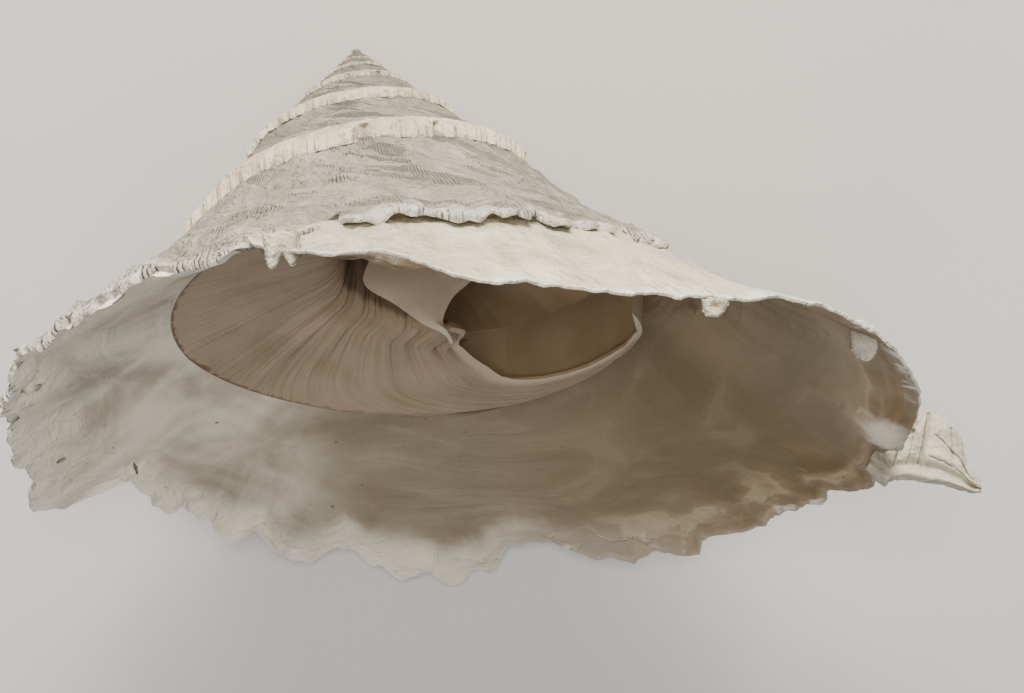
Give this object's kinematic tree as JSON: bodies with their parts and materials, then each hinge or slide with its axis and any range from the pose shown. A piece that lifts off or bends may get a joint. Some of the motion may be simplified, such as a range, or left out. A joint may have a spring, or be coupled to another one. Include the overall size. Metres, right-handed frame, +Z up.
{
  "type": "carrier_shell",
  "caption": "Longleys carrier shell, a wide low cone of thin ridged whorls with a broad broken flange, brown umbilicate base and open mouth, with shell fragments cemented to its edge",
  "frame": {"origin": "centre of the bounding box on the ground", "axes": "+Z up, X along the longest way across the flange towards the carried shard, +Y towards the tip of the spire"},
  "size_m": [0.1764, 0.1236, 0.1031],
  "materials": {
    "shell_wall": "chalky grey white outside, porcelain white to pinkish brown inside",
    "carried_shell": "worn chalky white shell"
  },
  "bodies": {
    "root": {"shell": "shell_wall", "shell_shard": "carried_shell", "lip_plate": "carried_shell", "frill_bit": "carried_shell", "margin_bit": "carried_shell"}
  },
  "joints": []
}
